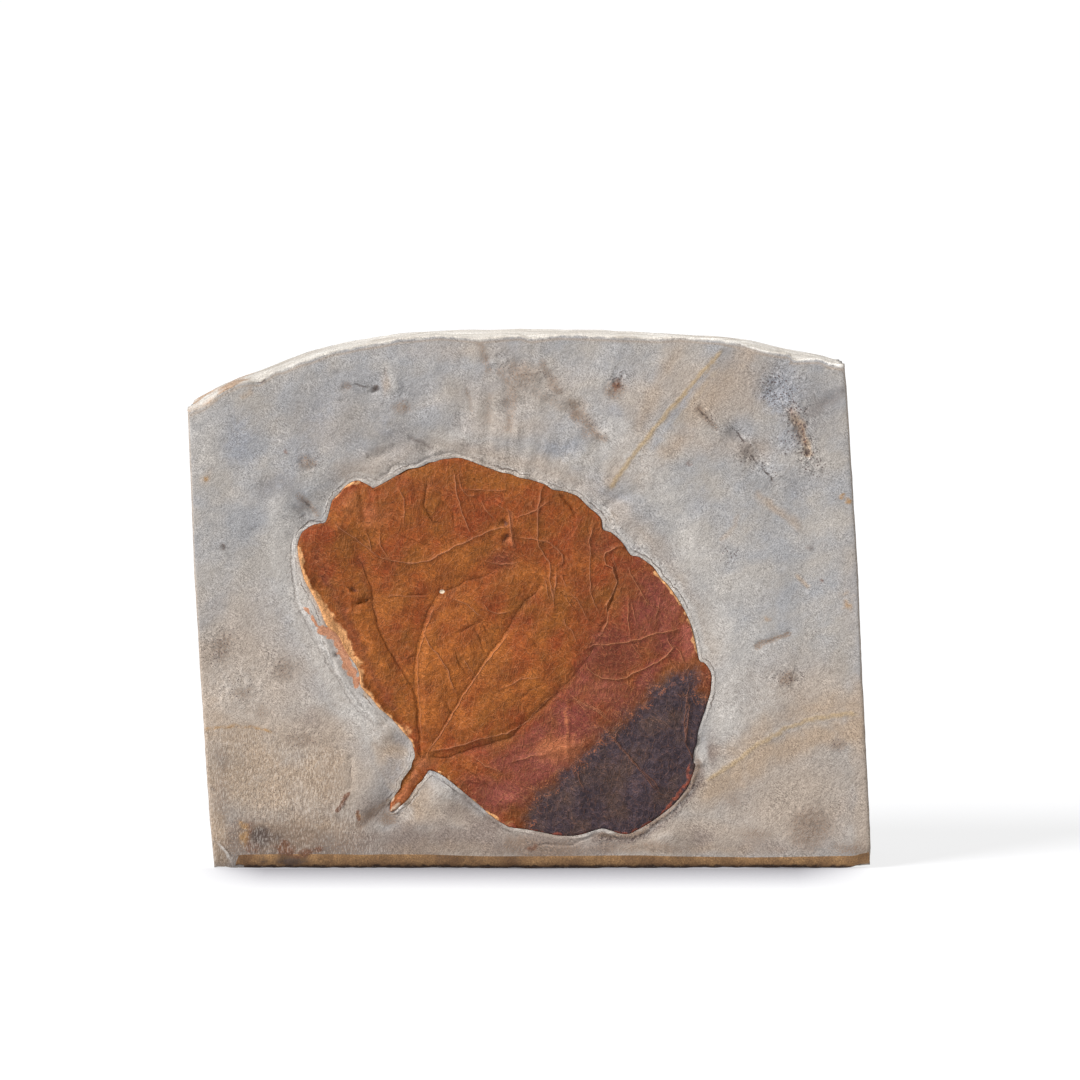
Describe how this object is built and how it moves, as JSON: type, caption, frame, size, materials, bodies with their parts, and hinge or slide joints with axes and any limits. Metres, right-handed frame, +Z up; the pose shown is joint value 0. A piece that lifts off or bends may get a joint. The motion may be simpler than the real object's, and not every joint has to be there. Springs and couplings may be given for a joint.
{
  "type": "fossil leaf plate",
  "caption": "Upright slab of pale siltstone with a domed rough top, sawn ends and a flat base, holding a broad orange-brown fossil leaf with a stalk pressed in its front face.",
  "frame": {"origin": "middle of the bounding box at the base, on the surface the plate stands on", "axes": "+X to the right along the plate's width, -Y out of the front face that holds the leaf, +Z up"},
  "size_m": [0.2057, 0.0343, 0.1619],
  "materials": {
    "siltstone": null,
    "leaf_film": null
  },
  "bodies": {
    "root": {"matrix_slab": "siltstone", "fossil_leaf": "leaf_film"}
  },
  "joints": []
}
